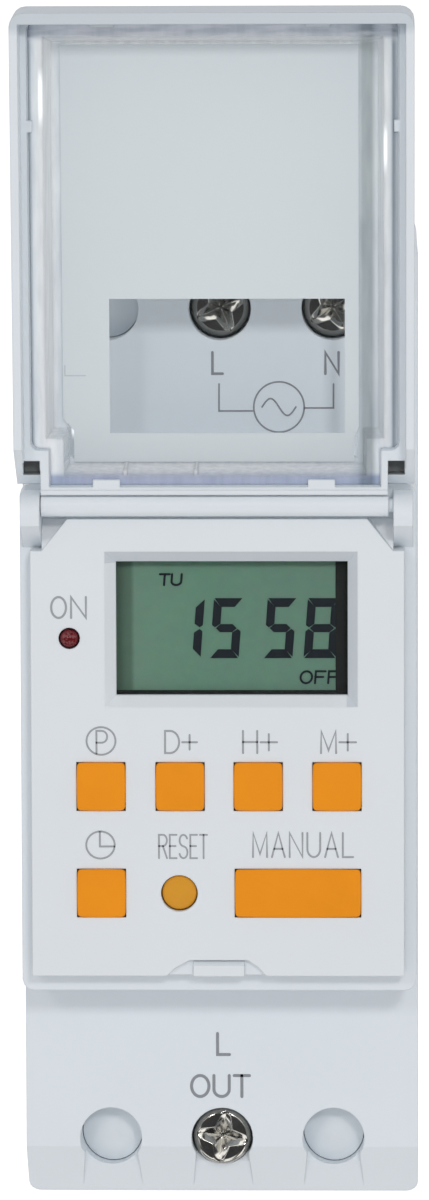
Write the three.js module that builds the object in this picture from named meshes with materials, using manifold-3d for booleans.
// Two-module DIN rail programmable timer with a flip-up cover.
// Frame, in millimetres: +X right seen from the front, +Y towards the rail, +Z up.
// Origin: middle of the 35 mm rail, on the plane where the housing rests on its flanges (y = 0).
// The cover is modelled closed and stands open, turned OPEN_DEG about its hinge.
import * as THREE from "three";
import { mergeVertices } from "three/addons/utils/BufferGeometryUtils.js";
import Module from "manifold-3d";

// ---- driving dimensions ----
const HALF_WIDTH = 17.6; // base and shoulders
const BLOCK_HALF_WIDTH = 17.4; // raised front block
const HALF_HEIGHT = 43.0;
const WALL = 1.6;
const Y_REAR = 4.5; // rearmost face, behind the rail's front plane
const Y_SPLIT = -8.0; // parting plane between front housing and rear base
const Y_SHOULDER = -44.0;
const Y_LEDGE = -52.5; // ledge the closed cover rests over
const Y_PANEL = -55.5; // face of the control panel
const CHAMFER = 4.9; // at the ends of the shoulders
const BLOCK_Z = [-22.45, 22.5]; // raised block, 45 mm class front
const RAIL_HALF = 17.5; // 35 mm rail
const CHANNEL_Z = [-RAIL_HALF - 0.7, RAIL_HALF + 0.3]; // rail channel in the base
const POLE = 10.0; // pitch between terminal poles
const POLE_Z = 37.3; // terminal screw axis from the middle
const SCREW_WELL_R = 2.77;
const HINGE_Y = -56.2; // cover hinge axis, along X
const HINGE_Z = 20.9;
const OPEN_DEG = 174.5;
const COVER_HALF_WIDTH = 17.35;
const COVER_SHIFT_X = -0.12; // the cover sits to one side in its hinge play
const COVER_LENGTH = 43.45; // hinge axis to free end
const KEY = 4.18; // square key side
const KEY_GAP = 0.07;
const KEY_PROUD = 0.4;

const SIDES = [-1, 1];

const wasm = await Module();
wasm.setup();

// ---- spans: [low, high] along one axis ----
const around = (centre, half) => [centre - half, centre + half];
const centred = (half) => around(0, half);
const grow = ([low, high], by) => [low - by, high + by];
const mirrored = (side, near, far) => (side > 0 ? [near, far] : [-far, -near]);

const INNER_X = centred(HALF_WIDTH - WALL);
const INNER_Z = centred(HALF_HEIGHT - WALL);

// ---- surface mesh to solid and back ----
function solid(geometry) {
  const loose = geometry.index ? geometry.toNonIndexed() : geometry;
  const bare = new THREE.BufferGeometry().setAttribute("position", loose.getAttribute("position"));
  const merged = mergeVertices(bare, 1e-4);
  return new wasm.Manifold(new wasm.Mesh({
    numProp: 3,
    vertProperties: new Float32Array(merged.attributes.position.array),
    triVerts: new Uint32Array(merged.index.array),
  }));
}

function geometryOf(shape) {
  const { numVert, numProp, vertProperties, triVerts } = shape.getMesh();
  const points = new Float32Array(numVert * 3);
  for (let i = 0; i < numVert; i++) {
    points.set(vertProperties.subarray(i * numProp, i * numProp + 3), i * 3);
  }
  const indexed = new THREE.BufferGeometry();
  indexed.setAttribute("position", new THREE.BufferAttribute(points, 3));
  indexed.setIndex(new THREE.BufferAttribute(new Uint32Array(triVerts), 1));
  const flat = indexed.toNonIndexed();
  flat.computeVertexNormals();
  return flat;
}

const add = (first, ...rest) => rest.reduce((sum, next) => sum.add(next), first);
const cut = (first, ...rest) => rest.reduce((left, next) => left.subtract(next), first);

// ---- outlines as (u, v) points ----
function arc([u, v], radius, fromDeg, toDeg, steps) {
  return Array.from({ length: steps + 1 }, (_, i) => {
    const angle = ((fromDeg + ((toDeg - fromDeg) * i) / steps) * Math.PI) / 180;
    return [u + radius * Math.cos(angle), v + radius * Math.sin(angle)];
  });
}

function roundRect([u0, u1], [v0, v1], r, steps) {
  return [
    ...arc([u1 - r, v1 - r], r, 0, 90, steps),
    ...arc([u0 + r, v1 - r], r, 90, 180, steps),
    ...arc([u0 + r, v0 + r], r, 180, 270, steps),
    ...arc([u1 - r, v0 + r], r, 270, 360, steps),
  ];
}

// closes half an outline with its mirror image across v = 0
const symmetric = (half) => [...half, ...half.map(([u, v]) => [u, -v]).reverse()];

// ---- basic solids ----
function box([x0, x1], [y0, y1], [z0, z1]) {
  const geometry = new THREE.BoxGeometry(x1 - x0, y1 - y0, z1 - z0);
  geometry.translate((x0 + x1) / 2, (y0 + y1) / 2, (z0 + z1) / 2);
  return solid(geometry);
}

// turns (u, v, depth) so that depth runs along the named axis
const TURN = {
  x: new THREE.Matrix4().set(0, 0, 1, 0, 1, 0, 0, 0, 0, 1, 0, 0, 0, 0, 0, 1),
  y: new THREE.Matrix4().set(0, 1, 0, 0, 0, 0, 1, 0, 1, 0, 0, 0, 0, 0, 0, 1),
  z: new THREE.Matrix4(),
};

// prism of points: (y, z) along X, (z, x) along Y, (x, y) along Z
function prism(axis, points, [from, to]) {
  const shape = new THREE.Shape(points.map(([u, v]) => new THREE.Vector2(u, v)));
  const options = { depth: to - from, bevelEnabled: false, steps: 1 };
  const geometry = new THREE.ExtrudeGeometry(shape, options);
  geometry.translate(0, 0, from);
  geometry.applyMatrix4(TURN[axis]);
  return solid(geometry);
}

// cylinder or cone along an axis; (a, b) are the other two coordinates in X, Y, Z order
function cyl(axis, [a, b], radius, [from, to], segments = 24, endRadius = radius) {
  const geometry = new THREE.CylinderGeometry(endRadius, radius, to - from, segments);
  const middle = (from + to) / 2;
  if (axis === "x") geometry.rotateZ(-Math.PI / 2).translate(middle, a, b);
  if (axis === "y") geometry.translate(a, middle, b);
  if (axis === "z") geometry.rotateX(Math.PI / 2).translate(a, b, middle);
  return solid(geometry);
}

// frustum along Y between two rectangles of x and z spans
const rect = (halfWidth, z0, z1) => ({ x: centred(halfWidth), z: [z0, z1] });
function taper([yFront, yRear], front, rear) {
  const corners = ({ x, z }, y) => [
    [x[0], y, z[0]], [x[1], y, z[0]], [x[1], y, z[1]], [x[0], y, z[1]],
  ];
  const points = [...corners(front, yFront), ...corners(rear, yRear)];
  const triangles = [
    [0, 1, 2], [0, 2, 3], [4, 6, 5], [4, 7, 6], [0, 5, 1], [0, 4, 5],
    [1, 6, 2], [1, 5, 6], [2, 7, 3], [2, 6, 7], [3, 4, 0], [3, 7, 4],
  ];
  const geometry = new THREE.BufferGeometry();
  geometry.setAttribute("position", new THREE.Float32BufferAttribute(points.flat(), 3));
  geometry.setIndex(triangles.flat());
  return solid(geometry);
}

// two crossed slots, seen along Y
function crossRecess([x, z], halfWidth, halfLength, ys) {
  return add(
    box(around(x, halfWidth), ys, around(z, halfLength)),
    box(around(x, halfLength), ys, around(z, halfWidth)));
}

// ---- materials ----
const paint = (settings) => new THREE.MeshStandardMaterial(settings);
const M = {
  shell: paint({ color: 0xd5dae0, roughness: 0.45 }),
  panel: paint({ color: 0xd9dde2, roughness: 0.5 }),
  clear: paint({ color: 0xf2f6fa, roughness: 0.05, transparent: true, opacity: 0.3 }),
  label: paint({ color: 0xdfe4e9, roughness: 0.6 }),
  key: paint({ color: 0xe8922a, roughness: 0.55 }),
  led: paint({ color: 0x7a1020, roughness: 0.15 }),
  lcd: paint({ color: 0x7c9a86, roughness: 0.25 }),
  glass: paint({ color: 0xa8bcae, roughness: 0.1 }),
  rubber: paint({ color: 0x3a3a3c, roughness: 0.8 }),
  pcb: paint({ color: 0x2f6b45, roughness: 0.5 }),
  chip: paint({ color: 0x1c1c1e, roughness: 0.5 }),
  steel: paint({ color: 0xb8b8b4, roughness: 0.3, metalness: 1 }),
  brass: paint({ color: 0xc9a85a, roughness: 0.35, metalness: 1 }),
  copper: paint({ color: 0xb87333, roughness: 0.4, metalness: 1 }),
  coil: paint({ color: 0x8a3a1c, roughness: 0.5, metalness: 0.3 }),
  relay: paint({ color: 0x20242a, roughness: 0.45 }),
  film: paint({ color: 0xc9a227, roughness: 0.45 }),
  can: paint({ color: 0x22262e, roughness: 0.4, metalness: 0.2 }),
  blue: paint({ color: 0x2f5fa8, roughness: 0.5 }),
  silicone: paint({ color: 0xd9d2c4, roughness: 0.75 }),
  ribbon: paint({ color: 0xb9bcc2, roughness: 0.6 }),
  clip: paint({ color: 0xc4c9ce, roughness: 0.5 }),
  beige: paint({ color: 0xc8b48a, roughness: 0.6 }),
};

// ---- groups ----
const root = new THREE.Group();
const cover = new THREE.Group(); // origin on the hinge axis
cover.position.set(COVER_SHIFT_X, HINGE_Y, HINGE_Z);
cover.rotation.x = (-OPEN_DEG * Math.PI) / 180;
root.add(cover);

function piece(name, shape, material, parent = root) {
  const mesh = new THREE.Mesh(geometryOf(shape), material);
  mesh.name = name;
  if (parent === cover) mesh.geometry.translate(0, -HINGE_Y, -HINGE_Z);
  parent.add(mesh);
}

// ---- front housing: shoulders, raised block, hinge ears, terminal chambers ----
const FOOTPRINT = roundRect(centred(HALF_HEIGHT), centred(HALF_WIDTH), 1.0, 4); // (z, x)
const TERMINALS = [ // undone: how far the screw stands out
  { name: "live_in", x: 0, side: 1, undone: 0 },
  { name: "neutral_in", x: POLE, side: 1, undone: 0 },
  { name: "live_out", x: 0, side: -1, undone: 1.2 },
];

// hinge ear (y, z): a round knuckle that runs down into the ledge
function earOutline() {
  const radius = 2.0;
  const centre = [-55.85, 19.95];
  const low = 16.9;
  return [
    [Y_LEDGE + 3, centre[1] + radius],
    ...arc(centre, radius, 90, 201.6, 10),
    [Y_LEDGE, low],
    [Y_LEDGE + 3, low],
  ];
}

// everything cut away at one pole: screw well, notch and, where wired, the openings behind
function poleCut(x, side) {
  const wired = TERMINALS.some((terminal) => terminal.x === x && terminal.side === side);
  const axis = [0, side * POLE_Z];
  const well = cyl("y", axis, SCREW_WELL_R, [-46, wired ? -39.8 : -38.7], 32);
  // notch that widens outwards (z, x) and ramps out through the chamfer (y, z)
  const flare = symmetric([[side * POLE_Z, 2.3], [side * 39.3, 2.4], [side * 45, 2.95]]);
  const ramp = [[-46, 36.9], [-46, 45], [-37.6, 45], [-41.8, 39.75], [-41.8, 36.9]];
  const notch = prism("y", flare, [-46, -37])
    .intersect(prism("x", ramp.map(([y, z]) => [y, side * z]), centred(4)));
  let tool = add(well, notch);
  if (wired) {
    const wireEntry = roundRect(centred(2.7), [-29.3, -23.7], 1.2, 3);
    tool = add(tool,
      cyl("y", axis, 2.0, [-41, -36]),
      prism("z", wireEntry, mirrored(side, 40, 45)));
  }
  return tool.translate([x, 0, 0]);
}

function mainHousing() {
  const profile = symmetric([ // (y, z)
    [Y_SPLIT, HALF_HEIGHT],
    [Y_SHOULDER + CHAMFER, HALF_HEIGHT],
    [Y_SHOULDER, HALF_HEIGHT - CHAMFER],
  ]);
  const blockOutline = roundRect(BLOCK_Z, centred(BLOCK_HALF_WIDTH), 1.0, 3);
  let housing = prism("x", profile, centred(HALF_WIDTH))
    .intersect(prism("y", FOOTPRINT, [-50, 0]));
  housing = add(housing, prism("y", blockOutline, [Y_LEDGE, Y_SHOULDER + 1]));
  for (const side of SIDES) housing = add(housing, prism("x", earOutline(), mirrored(side, 15.4, 17.1)));
  // blind bearing holes for the cover's stub pins
  for (const side of SIDES) {
    housing = cut(housing, cyl("x", [HINGE_Y, HINGE_Z], 0.8, mirrored(side, 15.2, 16.8)));
  }
  // opening (z, x) that takes the control panel's skirt, with its upper corners cut off
  const opening = symmetric([[-19.9, 15.5], [16.4, 15.5], [18.4, 13.85]]);
  housing = cut(housing, prism("y", opening, [-54, -50]));
  // hollow: behind the panel, under the shoulders, main chamber
  housing = cut(housing,
    box(centred(15.8), [-50.9, -42.3], [-20.6, 20.9]),
    box(INNER_X, [-42.4, -37.5], centred(33)),
    box(INNER_X, [-37.6, Y_SPLIT + 1], INNER_Z));
  // ribs between the poles
  for (const side of SIDES) for (const x of centred(POLE / 2)) {
    housing = add(housing, box(around(x, 0.8), [-38, -20], mirrored(side, 31.4, 42)));
  }
  for (const side of SIDES) for (const x of [-POLE, 0, POLE]) {
    housing = cut(housing, poleCut(x, side));
  }
  return housing;
}
piece("main_housing", mainHousing(), M.shell);

// ---- rear base with the rail channel ----
const SNAP_ARM_Z = 12; // snap arms, above and below the middle
const SNAP_ARM_HALF = 2;

function rearBase() {
  const across = centred(HALF_WIDTH + 1);
  const pocketY = [-2, 2.9];
  const clipZ = [-HALF_HEIGHT - 1, -17];
  let base = prism("y", FOOTPRINT, [Y_SPLIT + 0.12, Y_REAR]);
  // rail channel, and relief beside the rail seat
  base = cut(base,
    box(across, [0, Y_REAR + 1], CHANNEL_Z),
    box(across, [-0.25, 1], [15.8, CHANNEL_Z[1]]),
    box(across, [-0.25, 1], [CHANNEL_Z[0], -15.8]));
  // fixed upper hook (y, z)
  const hook = [[1.4, 18.5], [1.4, 16.5], [1.9, 16.2], [3.6, 16.2], [3.6, 18.5]];
  base = add(base, prism("x", hook, centred(HALF_WIDTH)));
  // hollow, with deeper pockets above the rail and beside the clip
  base = cut(base,
    box(INNER_X, [Y_SPLIT - 1, -WALL], INNER_Z),
    box(INNER_X, pocketY, [19.6, INNER_Z[1]]));
  for (const side of SIDES) {
    base = cut(base, box(mirrored(side, 6.4, INNER_X[1]), pocketY, [INNER_Z[0], -19.9]));
  }
  // stepped channel for the sliding clip
  base = cut(base,
    box(centred(4.8), [0.5, 3.05], clipZ),
    box(centred(3.6), [2.5, Y_REAR + 1], clipZ));
  // posts that carry the power board
  for (const x of centred(13.5)) for (const z of centred(27)) {
    base = add(base, cyl("y", [x, z], 1.6, [-9.6, 3.2], 12));
  }
  // snap arms reaching into the front housing
  for (const side of SIDES) for (const z of centred(SNAP_ARM_Z)) {
    base = add(base, box(mirrored(side, 14.7, 15.9), [-10.5, -1], around(z, SNAP_ARM_HALF)));
  }
  return base;
}
piece("rear_base", rearBase(), M.shell);

// ---- sliding rail clip ----
function railClip() {
  const halfWidth = 3.4;
  const length = [-42.6, -18.1];
  const through = [-1, 6];
  // jaw behind the flange (y, z)
  const jaw = [[1.4, -19], [1.4, -16.9], [2.2, -16.1], [4.3, -17.6], [4.3, -19]];
  let clip = add(
    box(centred(4.6), [0.7, 2.85], length),
    box(centred(halfWidth), [2.5, 4.3], length),
    prism("x", jaw, centred(halfWidth)));
  clip = cut(clip, box(centred(2), through, [-41.2, -39.4])); // screwdriver slot
  // moulded spring slits
  for (const side of SIDES) clip = cut(clip, box(mirrored(side, 1.4, 2.2), through, [-36, -24]));
  return clip;
}
piece("rail_clip", railClip(), M.clip);

// ---- layout of the control panel ----
const UPPER_ROW_Z = -3.9;
const LOWER_ROW_Z = -13.33;
const SQUARE_KEYS = [ // name, centre x, centre z
  ["program", -10.24, UPPER_ROW_Z],
  ["day", -3.3, UPPER_ROW_Z],
  ["hour", 3.55, UPPER_ROW_Z],
  ["minute", 10.45, UPPER_ROW_Z],
  ["clock", -10.24, LOWER_ROW_Z],
];
const KEYS = [
  ...SQUARE_KEYS.map(([name, x, z]) => ({ name, x: around(x, KEY / 2), z: around(z, KEY / 2) })),
  { name: "manual", x: [1.53, 12.5], z: around(LOWER_ROW_Z, KEY / 2) },
];
// round items and screws as (x, z)
const RESET = [-3.4, -13.36];
const RESET_R = 1.52;
const LAMP = [-12.96, 9.17];
const LAMP_R = 0.84;
const BOARD_SCREWS = [[-12.6, 15.6], [-12.6, -17.3], [12.6, -17.3]];
const LCD = { x: [-8.9, 11.4], z: [4.05, 15.85] }; // display window

// ---- control panel plate ----
function frontPanel() {
  // half outlines (z, x)
  const plate = symmetric([[-20.7, 16.35], [16.85, 16.35], [16.85, 15.35], [19.65, 13.1]]);
  const skirt = symmetric([[-19.7, 15.3], [16.3, 15.3], [18.2, 13.75]]);
  const through = [-57, -53];
  let panel = add(
    prism("y", plate, [Y_PANEL, Y_LEDGE - 0.2]),
    prism("y", skirt, [-54.2, -50.5]));
  panel = cut(panel, box(centred(14.1), [-53.9, -50], [-18.5, 17.0]));
  // display window with a sloped bezel
  const bezel = { x: [LCD.x[0] - 0.98, LCD.x[1] + 0.9], z: grow(LCD.z, 0.97) };
  panel = cut(panel,
    taper([Y_PANEL - 0.01, -54.5], bezel, LCD),
    box(LCD.x, [-54.8, -53], LCD.z));
  for (const { x, z } of KEYS) {
    panel = cut(panel, box(grow(x, KEY_GAP), through, grow(z, KEY_GAP)));
  }
  panel = cut(panel,
    cyl("y", RESET, RESET_R + 0.1, through, 32),
    cyl("y", LAMP, LAMP_R + 0.1, through));
  // finger recess (z, x) at the bottom edge, with the latch nub (y, z) left standing in it
  const recess = [[-21, -4.85], [-20.0, -3.8], [-19.3, -2.5], [-19.3, 2.6], [-19.9, 3.5], [-21, 4.5]];
  const nub = [[-53.5, -20.75], [-53.5, -19.4], [-54.9, -19.4], [-55.42, -19.8], [-55.42, -20.75]];
  panel = cut(panel, prism("y", recess, [-57, -54.75]));
  panel = add(panel, prism("x", nub, [-2.2, 2.3]));
  // bosses for the control board screws
  for (const at of BOARD_SCREWS) {
    panel = add(panel, cyl("y", at, 1.1, [-54.2, -51.35], 12));
    panel = cut(panel, cyl("y", at, 0.7, [-53.4, -51], 12));
  }
  return panel;
}
piece("front_panel", frontPanel(), M.panel);

// ---- keys: caps with a retaining flange behind the plate ----
const CAP_REAR_Y = -53.4;
const KEY_FLANGE_Y = [-53.7, -52.9];

function keycap({ x, z }) {
  return add(
    prism("y", roundRect(z, x, 0.35, 2), [Y_PANEL - KEY_PROUD, CAP_REAR_Y]),
    box(grow(x, 0.45), KEY_FLANGE_Y, grow(z, 0.45)));
}
for (const key of KEYS) piece("key_" + key.name, keycap(key), M.key);
piece("key_reset", add(
  cyl("y", RESET, RESET_R, [-54.9, CAP_REAR_Y], 32),
  cyl("y", RESET, 2.1, KEY_FLANGE_Y)), M.key);

// ---- keypad mat: silicone sheet with one dome under each key ----
function keypadMat() {
  const centres = [...SQUARE_KEYS.map(([, x, z]) => [x, z]), RESET, [7.0, LOWER_ROW_Z]];
  const sheet = box(centred(13.2), [-51.9, -51.35], [-15.9, -0.6]);
  return add(sheet, ...centres.map((at) => cyl("y", at, 1.5, [-52.05, -51.6], 12)));
}
piece("keypad_mat", keypadMat(), M.silicone);

// ---- display ----
const GLASS_X = [-10.3, 12.6];
piece("lcd_front_glass", box(GLASS_X, [-53.75, -52.75], [1.5, 16.9]), M.glass);
piece("lcd_rear_glass", box(GLASS_X, [-52.65, -51.85], [3.3, 16.9]), M.lcd);
piece("lcd_reflector", box(grow(GLASS_X, -0.2), [-51.75, -51.45], [3.5, 16.7]), M.can);
piece("lcd_zebra_strip", box([-9.3, 11.6], [-52.65, -51.35], [1.6, 2.9]), M.rubber);

// ---- indicator lamp: domed lens, collar with a flat, and two leads towards the board ----
function statusLed() {
  const [x, z] = LAMP;
  const domeY = -55.1;
  const dome = new THREE.SphereGeometry(LAMP_R, 20, 12);
  dome.rotateX(Math.PI / 2);
  dome.translate(x, domeY, z);
  let led = add(solid(dome),
    cyl("y", LAMP, LAMP_R, [domeY, -53.2], 20),
    cyl("y", LAMP, 1.3, [-53.7, -53.0], 20));
  for (const side of SIDES) {
    const [near, far] = mirrored(side, 0.45, 0.8);
    led = add(led, box([x + near, x + far], [-53.4, -51.3], [z - 0.17, z + 0.18]));
  }
  return cut(led, box([-15, -13.9], [-54, -52.5], around(z, 2)));
}
piece("status_led", statusLed(), M.led);

// ---- control board and what it carries ----
const controlBoard = cut(
  box(centred(13.9), [-51.2, -49.7], [-18.4, 16.8]),
  ...BOARD_SCREWS.map((at) => cyl("y", at, 0.8, [-52, -49], 12)));
piece("control_board", controlBoard, M.pcb);
piece("microcontroller", box([-5, 5], [-49.55, -48.1], [-9.5, 0.5]), M.chip);
piece("clock_crystal", cyl("x", [-48.45, 5.0], 1.0, [-12, -6], 12), M.steel);

const BATTERY = [4.5, 9.3]; // (x, z)
piece("backup_battery", add(
  cyl("y", BATTERY, 5.8, [-49.5, -44.6], 28),
  cyl("y", BATTERY, 4.4, [-45, -44.2])), M.steel);

function boardScrew(at) {
  const head = cyl("y", at, 1.15, [-49.55, -48.75], 14);
  const shank = cyl("y", at, 0.55, [-53.1, -49.3], 12);
  return cut(add(head, shank), crossRecess(at, 0.14, 0.75, [-49.1, -48]));
}
BOARD_SCREWS.forEach((at, i) => piece("board_screw_" + (i + 1), boardScrew(at), M.steel));

// ---- power board plane: parts on it stop at PART_FOOT_Y, just clear of the board ----
const PART_FOOT_Y = -11.6;

// ---- the ribbon cable's two slotted headers ----
const header = (ys, zs, slotZ) => cut(
  box([2.0, 11.3], ys, zs),
  box([2.55, 10.75], grow(ys, 0.5), slotZ));
const controlHeader = header([-49.5, -46.8], [-18.3, -15.9], [-17.85, -16.75]);
const powerHeader = header([-14.4, PART_FOOT_Y], [-24.7, -22.3], [-24.05, -22.95]);
piece("ribbon_header_control", controlHeader, M.chip);
piece("ribbon_header_power", powerHeader, M.chip);

// ---- power board, notched around the snap arms ----
function powerBoard() {
  let board = box(centred(15.4), [-11.4, -9.8], centred(30.6));
  for (const side of SIDES) for (const z of centred(SNAP_ARM_Z)) {
    const notchZ = around(z, SNAP_ARM_HALF + 0.6);
    board = cut(board, box(mirrored(side, 14.4, 17), [-12, -9], notchZ));
  }
  return board;
}
piece("power_board", powerBoard(), M.pcb);

const RIBBON_PATH = [ // (y, z), up one face of the ribbon and back along the other
  [-49.5, -17.6], [-49.5, -17.0], [-40, -17.0], [-34, -23.2], [-20, -23.2],
  [PART_FOOT_Y, -23.2], [PART_FOOT_Y, -23.8], [-34.3, -23.8], [-40.3, -17.6],
];
piece("ribbon_cable", prism("x", RIBBON_PATH, [2.8, 10.5]), M.ribbon);

// ---- parts on the power board ----
const dropperOutline = roundRect([3.5, 21.5], [3.0, 14.2], 0.8, 2); // (z, x)
piece("dropper_capacitor", prism("y", dropperOutline, [-25, PART_FOOT_Y]), M.film);

const FILTER = [-9.2, 5.4]; // (x, z)
piece("filter_capacitor", add(
  cyl("y", FILTER, 4.0, [-24.6, -12.0]),
  cyl("y", FILTER, 3.7, [-12.4, PART_FOOT_Y], 20)), M.can);

const varistorLead = (x) => box(around(x, 0.3), [-17, PART_FOOT_Y], [16.2, 16.8]);
piece("varistor", add(
  cyl("z", [-9.2, -18.2], 4.4, [15, 18.2]),
  varistorLead(-11.6),
  varistorLead(-6.8)), M.blue);

piece("bridge_rectifier", box([-3.8, 0.8], [-14.2, PART_FOOT_Y], [7.5, 13.2]), M.chip);

// driver transistor: round body with a flat side, on three legs
function relayDriver() {
  const body = cyl("y", [6.2, -6.2], 2.3, [-19.2, -14.6], 20);
  const flattened = cut(body, box([3, 9], [-20, -14], [-8.9, -7.6]));
  const legs = [4.9, 6.2, 7.5].map((x) => box(around(x, 0.2), [-15, PART_FOOT_Y], [-6.4, -6.0]));
  return add(flattened, ...legs);
}
piece("relay_driver", relayDriver(), M.chip);

// part lying along Z, its two leads bent down to the board
function axialPart({ x, y, z, radius, length, leadOut }) {
  const leadRadius = 0.3;
  const leadSpan = around(z, length / 2 + leadOut);
  return (footOffset) => add(
    cyl("z", [x, y], radius, around(z, length / 2), 14),
    cyl("z", [x, y], leadRadius, leadSpan, 8),
    ...SIDES.map((side) => box(
      around(x, leadRadius),
      [y - footOffset.top, PART_FOOT_Y],
      around(z + side * (length / 2 + footOffset.out), 0.3))));
}
const diode = (x, z, radius, length) =>
  axialPart({ x, y: -13.6, z, radius, length, leadOut: 1.6 })({ top: 0.3, out: 1.6 });
piece("flyback_diode", diode(12.4, -8, 1.2, 4.6), M.chip);
piece("zener_diode", diode(-13.0, 24.0, 1.1, 4.0), M.beige);
const fuse = axialPart({ x: -1.5, y: -13.4, z: 20, radius: 1.3, length: 7, leadOut: 4.6 - 3.5 });
piece("fuse_resistor", add(
  cut(fuse({ top: 0, out: 0.8 }), box([-3, 0], [-14, -11], [24.6, 25])),
  box(around(-1.5, 0.3), [-13.4, PART_FOOT_Y], [24, 24.6])), M.beige);

// ---- relay: case over a base, coil on a core and yoke, hinged armature, fixed contact ----
const RELAY_X = [-14.4, 1.0];
const RELAY_Z = [-20.6, -1.6];
const COIL = [-6.7, -8.2]; // axes as (x, z)
const CONTACT = [COIL[0], -16.4];
const alongCoil = (half) => around(COIL[0], half);

piece("relay_base", box(RELAY_X, [-13.0, PART_FOOT_Y], RELAY_Z), M.relay);
piece("relay_case", cut(
  box(RELAY_X, [-27.3, -13.12], RELAY_Z),
  box(grow(RELAY_X, -0.8), [-26.5, -13], grow(RELAY_Z, -0.8))), M.relay);
piece("relay_coil", cut(
  cyl("y", COIL, 4.0, [-23.6, -14.8]),
  cyl("y", COIL, 1.75, [-25, -14], 16)), M.coil);
piece("relay_yoke", add(
  box(alongCoil(4), [-14.5, -13.3], [-12.2, -2.7]),
  box(alongCoil(4), [-24.4, -13.3], [-3.7, -2.7]),
  cyl("y", COIL, 1.5, [-24.4, -13.5], 16)), M.steel);
piece("relay_armature", add(
  box(alongCoil(3.8), [-25.7, -24.9], [-17.6, -2.9]),
  cyl("y", CONTACT, 1.1, [-25.0, -24.1], 14)), M.steel);
piece("relay_fixed_contact", add(
  box(alongCoil(1.5), [-22.9, -22.2], [-18.4, -15.2]),
  box(alongCoil(1.5), [-22.9, -13.2], [-19.2, -18.4]),
  cyl("y", CONTACT, 1.1, [-23.2, -22.5], 14)), M.copper);

// ---- terminals: captive screw, rising cage, fixed bar ----
// round head with a bevelled rim and a cross recess
function terminalScrew(at, undone) {
  const headR = 2.58;
  const screw = add(
    cyl("y", at, headR, [-41.75, -39.95], 28),
    cyl("y", at, 2.1, [-42.15, -41.75], 28, headR),
    cyl("y", at, 1.7, [-40.2, -30.1], 20));
  return cut(screw, crossRecess(at, 0.45, 2.0, [-43, -41.2])).translate([0, -undone, 0]);
}

function terminalCage([x, z], side) {
  return cut(
    box(around(x, 3.7), [-34.5, -22.5], mirrored(side, 33.7, 41.0)),
    box(around(x, 2.7), [-32.9, -24.1], mirrored(side, 30, 45)),
    cyl("y", [x, z], 1.85, [-36, -32], 20));
}

function terminalBar(x, side) {
  const xs = around(x, 2.4);
  return add(
    box(xs, [-29.9, -28.9], mirrored(side, 28.4, 40.6)),
    box(xs, [-29.9, PART_FOOT_Y], mirrored(side, 28.4, 29.4)));
}

for (const { name, x, side, undone } of TERMINALS) {
  const at = [x, side * POLE_Z];
  piece("terminal_screw_" + name, terminalScrew(at, undone), M.steel);
  piece("terminal_cage_" + name, terminalCage(at, side), M.brass);
  piece("terminal_bar_" + name, terminalBar(x, side), M.copper);
}

// ---- cover, modelled closed ----
const END_Z = HINGE_Z - COVER_LENGTH; // free end
const STEP_Y = -55.75; // rear of the frame's front wall
const PANE_Y = -60.6; // rear of the window's pane

// outline (z, x) that narrows at shoulderZ to pass between the ears
function coverOutline({ half, neckHalf, top, low, shoulderZ }) {
  const r = 0.7;
  return symmetric([
    ...arc([low + r, half - r], r, 180, 90, 3),
    ...arc([shoulderZ - r, half - r], r, 90, 0, 3),
    [shoulderZ, neckHalf],
    [top, neckHalf],
  ]);
}

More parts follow.
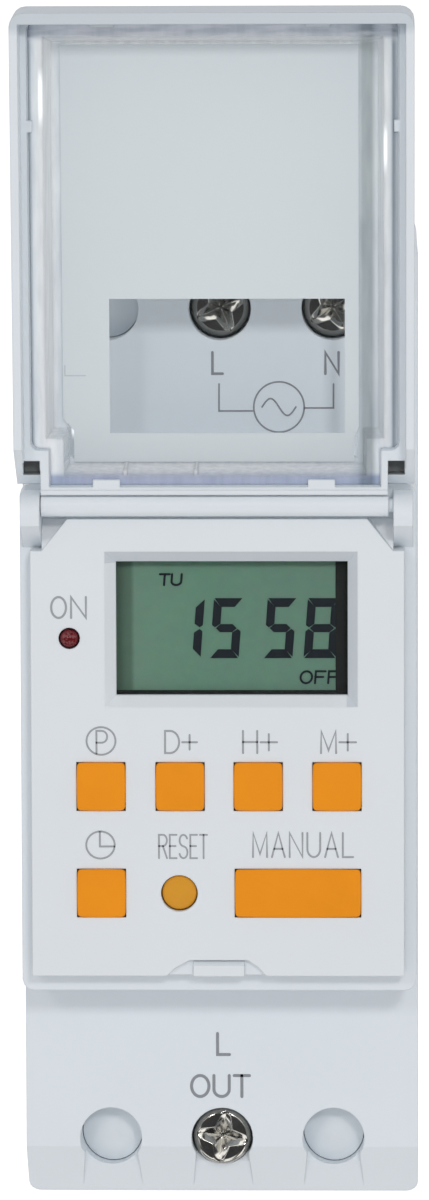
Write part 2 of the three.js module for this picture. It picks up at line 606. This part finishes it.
function coverFrame() {
  const wideZ = HINGE_Z - 5.55; // where the wide part starts
  const barZ = HINGE_Z - 0.95; // hinge end wall
  const rimY = Y_LEDGE - 0.15;
  const frontY = -58.05;
  const neckX = [-15.2, 15.05];
  const wide = roundRect([END_Z, wideZ], centred(COVER_HALF_WIDTH), 1.2, 4);
  let frame = add(
    prism("y", wide, [frontY, rimY]),
    box(centred(COVER_HALF_WIDTH), [frontY, rimY], [wideZ - 1.5, wideZ]),
    box(neckX, [frontY, STEP_Y], [wideZ - 1, barZ]));
  // sloped corner blocks (y, z) beside the ears
  const corner = [
    [rimY, wideZ - 0.5], [rimY, wideZ], [frontY, HINGE_Z - 1.6], [frontY, wideZ - 0.5],
  ];
  for (const side of SIDES) {
    frame = add(frame, prism("x", corner, mirrored(side, 14.5, COVER_HALF_WIDTH)));
  }
  // room for the raised panel, seat for the window's flange, opening for its tray
  const seat = coverOutline({
    half: 16.05, neckHalf: 14.45, top: HINGE_Z - 1.7, low: END_Z + 1.05, shoulderZ: HINGE_Z - 4.95,
  });
  const opening = coverOutline({
    half: 15.5, neckHalf: 13.95, top: HINGE_Z - 1.95, low: END_Z + 1.6, shoulderZ: HINGE_Z - 5.2,
  });
  frame = cut(frame,
    box(centred(16.6), [STEP_Y, -50], [END_Z + 1.0, wideZ + 3]),
    prism("y", seat, [-57.15, -50]),
    prism("y", opening, [-60, -57]));
  // core pockets in the corner blocks
  for (const xs of [[15.05, 16.5], [-16.7, -15.25]]) {
    frame = cut(frame, box(xs, [-57.75, -50], [HINGE_Z - 4.03, HINGE_Z - 2.75]));
  }
  // snap tabs over the window's flange, and the gate mark at the free end
  const tab = (xs, zs) => box(xs, [-56.1, STEP_Y], zs);
  const hingeTabZ = [HINGE_Z - 2.35, HINGE_Z - 1.6];
  for (const x of [-9.46, 9.27]) frame = add(frame, tab(around(x, 1.18), hingeTabZ));
  const endTabZ = [END_Z + 0.9, END_Z + 1.6];
  for (const x of [-9.55, 9.05]) frame = add(frame, tab(around(x, 1.05), endTabZ));
  for (const side of SIDES) frame = add(frame, tab(mirrored(side, 15.6, 16.2), [-12.9, -11.9]));
  frame = add(frame, tab(centred(0.6), [END_Z + 0.9, END_Z + 1.3]));
  // hinge barrel with stub pins
  const hinge = [HINGE_Y, HINGE_Z];
  frame = add(frame,
    cyl("x", hinge, 0.95, [-15.2, 15.1], 28),
    box(neckX, [-57.1, STEP_Y + 0.1], [barZ - 0.5, HINGE_Z]),
    cyl("x", hinge, 0.6, [-16.55, 16.65], 16));
  // sink line between barrel and frame
  return cut(frame, box([-15.5, 15.3], [-56.1, -55.2], [HINGE_Z - 1.02, HINGE_Z - 0.86]));
}
piece("cover_frame", coverFrame(), M.shell, cover);

// clear window: flanged tray with drafted walls, narrower at the hinge end
function coverWindow() {
  const outerY = [-61.5, -56.6];
  const innerY = [PANE_Y, -56.0];
  const flange = coverOutline({
    half: 15.95, neckHalf: 14.35, top: HINGE_Z - 1.82, low: END_Z + 1.15, shoulderZ: HINGE_Z - 5.05,
  });
  let pane = add(
    prism("y", flange, [-57.0, -56.25]),
    taper(outerY,
      rect(14.75, END_Z + 2.6, HINGE_Z - 5.6),
      rect(15.25, END_Z + 1.8, HINGE_Z - 5.4)),
    taper(outerY,
      rect(13.4, HINGE_Z - 8, HINGE_Z - 2.45),
      rect(13.7, HINGE_Z - 8, HINGE_Z - 2.15)));
  pane = cut(pane,
    taper(innerY,
      rect(14.2, END_Z + 3.3, HINGE_Z - 6.1),
      rect(14.75, END_Z + 2.35, HINGE_Z - 5.9)),
    taper(innerY,
      rect(12.85, HINGE_Z - 8.4, HINGE_Z - 2.95),
      rect(13.2, HINGE_Z - 8.4, HINGE_Z - 2.6)));
  // two ribs on the hinge-side wall
  const ribZ = [HINGE_Z - 3.1, HINGE_Z - 2.5];
  const ribs = [-7.85, -1.7].map((x) => box(around(x, 0.15), [PANE_Y - 0.2, -56.4], ribZ));
  return add(pane, ...ribs);
}
piece("cover_window", coverWindow(), M.clear, cover);

// label sheet just behind the pane, with a viewing cut-out over the display
function coverLabel() {
  const endEdge = END_Z + 3.6;
  const hingeEdge = HINGE_Z - 3.15;
  const outline = [ // (z, x)
    [endEdge, -13.39], [endEdge, 12.5], [HINGE_Z - 6.3, 12.5], [HINGE_Z - 5.2, 12.1],
    [hingeEdge, 12.1], [hingeEdge, -12.45], [HINGE_Z - 5.9, -12.45], [HINGE_Z - 7.0, -13.39],
  ];
  const cutOut = box([-9.28, 11.29], [-61, -60], [HINGE_Z - 17.58, HINGE_Z - 5.69]);
  return cut(prism("y", outline, [-60.45, -60.25]), cutOut);
}
piece("cover_label", coverLabel(), M.label, cover);

export default root;
